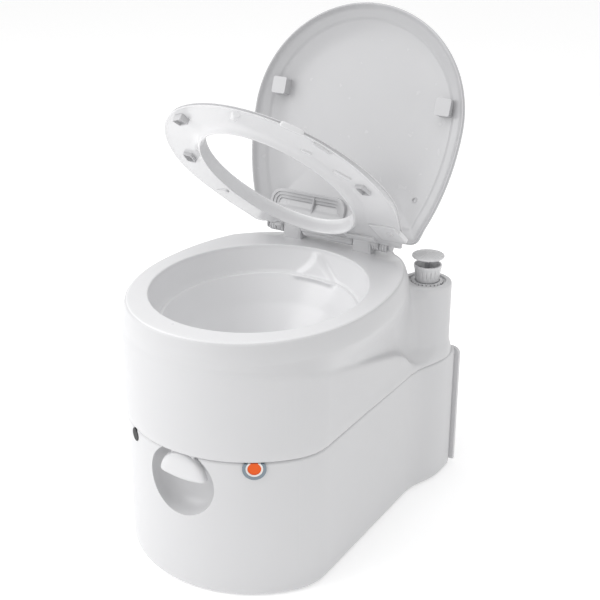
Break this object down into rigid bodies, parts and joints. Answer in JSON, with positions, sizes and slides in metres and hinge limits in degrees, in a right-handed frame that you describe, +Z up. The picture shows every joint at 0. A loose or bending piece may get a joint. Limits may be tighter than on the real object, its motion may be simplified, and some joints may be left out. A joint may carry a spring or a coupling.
{
  "type": "portable camp toilet",
  "caption": "Portable flushing camp toilet: tank with slide valve and pour spout, water tank with moulded bowl, hinged ring seat and lid, push pump.",
  "frame": {"origin": "centre of the base on the floor, midway between the tank's sides and on the line where the bowl and tank are laid out", "axes": "+X towards the pump side, -Y out of the front where the valve pull is, +Z up"},
  "size_m": [0.372, 0.5467, 0.732],
  "materials": {
    "tank_white": "semi-gloss moulded polyethylene, light grey white",
    "bowl_white": "glossy moulded bowl",
    "seat_white": "glossy moulded seat",
    "lid_white": "glossy moulded lid",
    "soft_white": "soft pale pads",
    "hinge_white": "satin moulded hinge parts",
    "steel": "stainless steel",
    "pump_white": "glossy moulded pump and cap",
    "handle_white": "glossy moulded pull",
    "inner_grey": "satin grey engineering plastic",
    "seal_black": "black rubber",
    "gauge_blue": "blue grey bezel",
    "gauge_white": "white ring",
    "gauge_orange": "orange window",
    "float_foam": "orange foam float",
    "vent_black": "black push button"
  },
  "bodies": {
    "base": {"waste_tank": "tank_white", "flush_tank": "tank_white", "bowl": "bowl_white", "bowl_nozzle": "bowl_white", "outlet_seal": "seal_black", "valve_frame_lower": "inner_grey", "valve_frame_upper": "inner_grey", "valve_screws": "steel", "gauge_bezel": "gauge_blue", "gauge_collar": "gauge_white", "gauge_window": "gauge_orange", "gauge_nut": "inner_grey", "float_fork": "inner_grey", "float_pin": "steel", "vent_guide": "inner_grey", "vent_bellows": "seal_black", "pump_barrel": "inner_grey", "pump_foot_valve": "seal_black", "pump_base_ring": "pump_white", "pump_spring": "steel", "flush_hose": "seal_black", "fill_seal": "seal_black", "spout_seal": "seal_black", "latch_bracket": "inner_grey", "latch_pin": "steel", "latch_catch": "inner_grey", "hinge_block_left": "hinge_white", "hinge_block_right": "hinge_white", "hinge_studs": "steel", "hinge_nuts": "steel"},
    "hinge_rod": {"hinge_rod": "steel", "rod_caps": "hinge_white"},
    "seat": {"seat": "seat_white", "seat_bumpers": "soft_white"},
    "lid": {"lid": "lid_white", "lid_bumpers": "soft_white"},
    "valve_slide": {"valve_blade": "inner_grey", "valve_handle": "handle_white"},
    "pump_plunger": {"pump_knob": "pump_white", "pump_rod": "steel", "pump_piston": "inner_grey", "pump_piston_ring": "seal_black"},
    "pump_collar": {"pump_collar": "pump_white"},
    "fill_cap": {"fill_cap": "pump_white"},
    "spout": {"spout": "inner_grey", "spout_cap_seal": "seal_black"},
    "spout_cap": {"spout_cap": "inner_grey"},
    "latch_lever": {"latch_lever": "inner_grey"},
    "float": {"float_arm": "inner_grey", "float_ball": "float_foam"},
    "vent_button": {"vent_button": "vent_black"}
  },
  "joints": [
    {"name": "hinge_fold", "type": "hinge", "parent": "base", "child": "hinge_rod", "pos_m": [0, 0.144, 0.399], "axis": [1, 0, 0], "range_deg": [0, 43]},
    {"name": "seat_swing", "type": "hinge", "parent": "hinge_rod", "child": "seat", "pos_m": [0, 0.144, 0.399], "axis": [-1, 0, 0], "range_deg": [-43, 65]},
    {"name": "lid_swing", "type": "hinge", "parent": "hinge_rod", "child": "lid", "pos_m": [0, 0.144, 0.399], "axis": [-1, 0, 0], "range_deg": [-67, 0]},
    {"name": "valve_slide", "type": "slide", "parent": "base", "child": "valve_slide", "axis": [0, -1, 0], "range_m": [0, 0.104]},
    {"name": "pump_push", "type": "slide", "parent": "base", "child": "pump_plunger", "axis": [0, 0, -1], "range_m": [0, 0.01], "stiffness_N_per_m": 300, "springref_m": -0.01, "deforming": ["pump_spring"]},
    {"name": "collar_turn", "type": "hinge", "parent": "base", "child": "pump_collar", "pos_m": [0.145, 0.196, 0.35], "axis": [0, 0, 1], "range_deg": [0, 60]},
    {"name": "fill_cap_turn", "type": "hinge", "parent": "base", "child": "fill_cap", "pos_m": [-0.145, 0.196, 0.34], "axis": [0, 0, 1], "range_deg": [0, 90]},
    {"name": "spout_swing", "type": "hinge", "parent": "base", "child": "spout", "pos_m": [0.022, 0.222, 0.16], "axis": [0, 0, -1], "range_deg": [0, 90]},
    {"name": "spout_cap_turn", "type": "hinge", "parent": "spout", "child": "spout_cap", "pos_m": [-0.1, 0.222, 0.16], "axis": [-1, 0, 0], "range_deg": [0, 90]},
    {"name": "latch_swing", "type": "hinge", "parent": "base", "child": "latch_lever", "pos_m": [0.11, 0.245, 0.224], "axis": [1, 0, 0], "range_deg": [0, 100]},
    {"name": "float_rise", "type": "hinge", "parent": "base", "child": "float", "pos_m": [0.09493, -0.21143, 0.179], "axis": [0.8339, 0.5519, 0], "range_deg": [0, 35]},
    {"name": "vent_press", "type": "slide", "parent": "base", "child": "vent_button", "axis": [0.5, 0.866, 0], "range_m": [0, 0.003], "stiffness_N_per_m": 300, "springref_m": -0.002, "deforming": ["vent_bellows"]}
  ]
}
